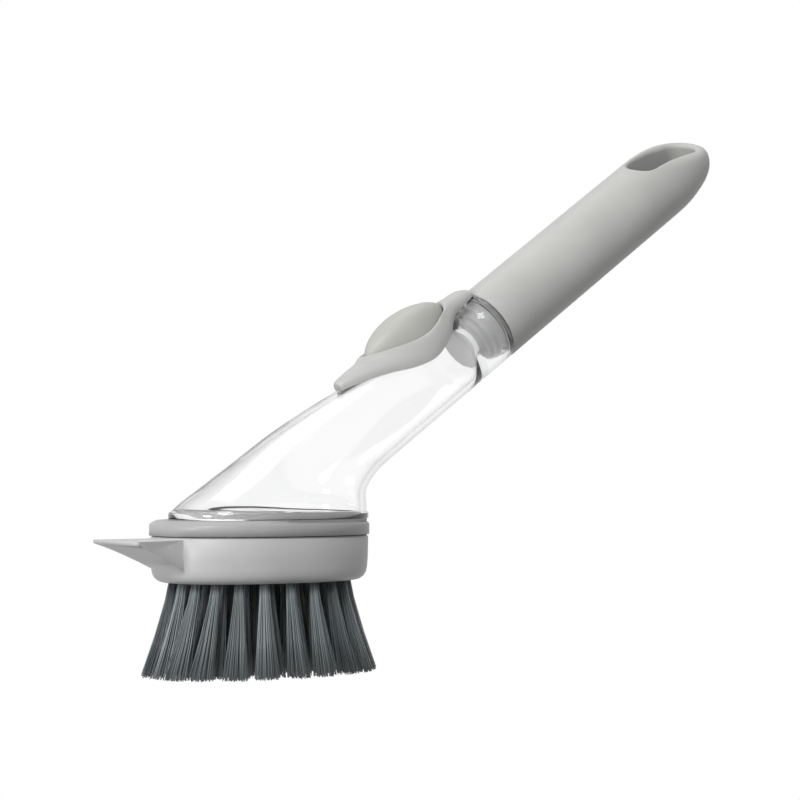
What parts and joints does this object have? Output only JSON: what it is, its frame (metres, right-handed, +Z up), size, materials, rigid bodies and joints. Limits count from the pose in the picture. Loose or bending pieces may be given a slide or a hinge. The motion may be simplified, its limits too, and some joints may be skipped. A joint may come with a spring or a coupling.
{
  "type": "dish wand",
  "caption": "Soap-dispensing dish brush: clear hollow wand with a push button, screw-on handle with a hang hole, and a pull-off bristle head with a scraper nose.",
  "frame": {"origin": "on the plane of the bristle tips, at the middle of the oval brush head", "axes": "+Z up from the bristle tips, the scraper nose points to -X and the handle rises towards +X, +Y across the head"},
  "size_m": [0.2537, 0.0554, 0.1961],
  "materials": {
    "clear_tube": "clear gloss moulded plastic",
    "bezel_grey": "satin moulded plastic",
    "inner_grey": "satin moulded plastic",
    "button_soft": "matt soft silicone",
    "coupling_grey": "satin moulded plastic",
    "seal_rubber": "matt rubber",
    "valve_soft": "translucent matt silicone",
    "head_grey": "fine matt moulded plastic",
    "tuft_plate_grey": "fine matt moulded plastic",
    "anchor_metal": "drawn wire",
    "bristle_dark": "drawn nylon strands",
    "grip_soft": "fine matt soft-touch skin",
    "core_grey": "satin moulded plastic"
  },
  "bodies": {
    "wand": {"reservoir": "clear_tube", "button_bezel": "bezel_grey", "button_seat": "inner_grey", "coupling_plate": "coupling_grey", "base_gasket": "seal_rubber", "dispensing_valve": "valve_soft", "valve_retainer": "inner_grey", "outlet_o_ring": "seal_rubber"},
    "button": {"pump_button": "button_soft"},
    "seal": {"neck_seal": "seal_rubber"},
    "handle": {"grip_sleeve": "grip_soft", "handle_core": "core_grey", "spigot_plug": "inner_grey"},
    "head": {"head_shell": "head_grey", "tuft_plate": "tuft_plate_grey", "tuft_anchors": "anchor_metal", "bristles": "bristle_dark"}
  },
  "joints": [
    {"name": "button_press", "type": "slide", "parent": "wand", "child": "button", "axis": [0.5807, 0, -0.8141], "range_m": [0, 0.0022], "stiffness_N_per_m": 800},
    {"name": "handle_lift", "type": "slide", "parent": "wand", "child": "seal", "axis": [0.8141, 0, 0.5807], "range_m": [0, 0.0135]},
    {"name": "handle_unscrew", "type": "hinge", "parent": "seal", "child": "handle", "pos_m": [0.0936, 0, 0.1197], "axis": [0.8141, 0, 0.5807], "range_deg": [0, 540]},
    {"name": "head_pull", "type": "slide", "parent": "wand", "child": "head", "axis": [0, 0, -1], "range_m": [0, 0.009]}
  ],
  "couplings": [
    {"joint": "handle_unscrew", "follows": "handle_lift", "rad_per_m": 698.13}
  ]
}
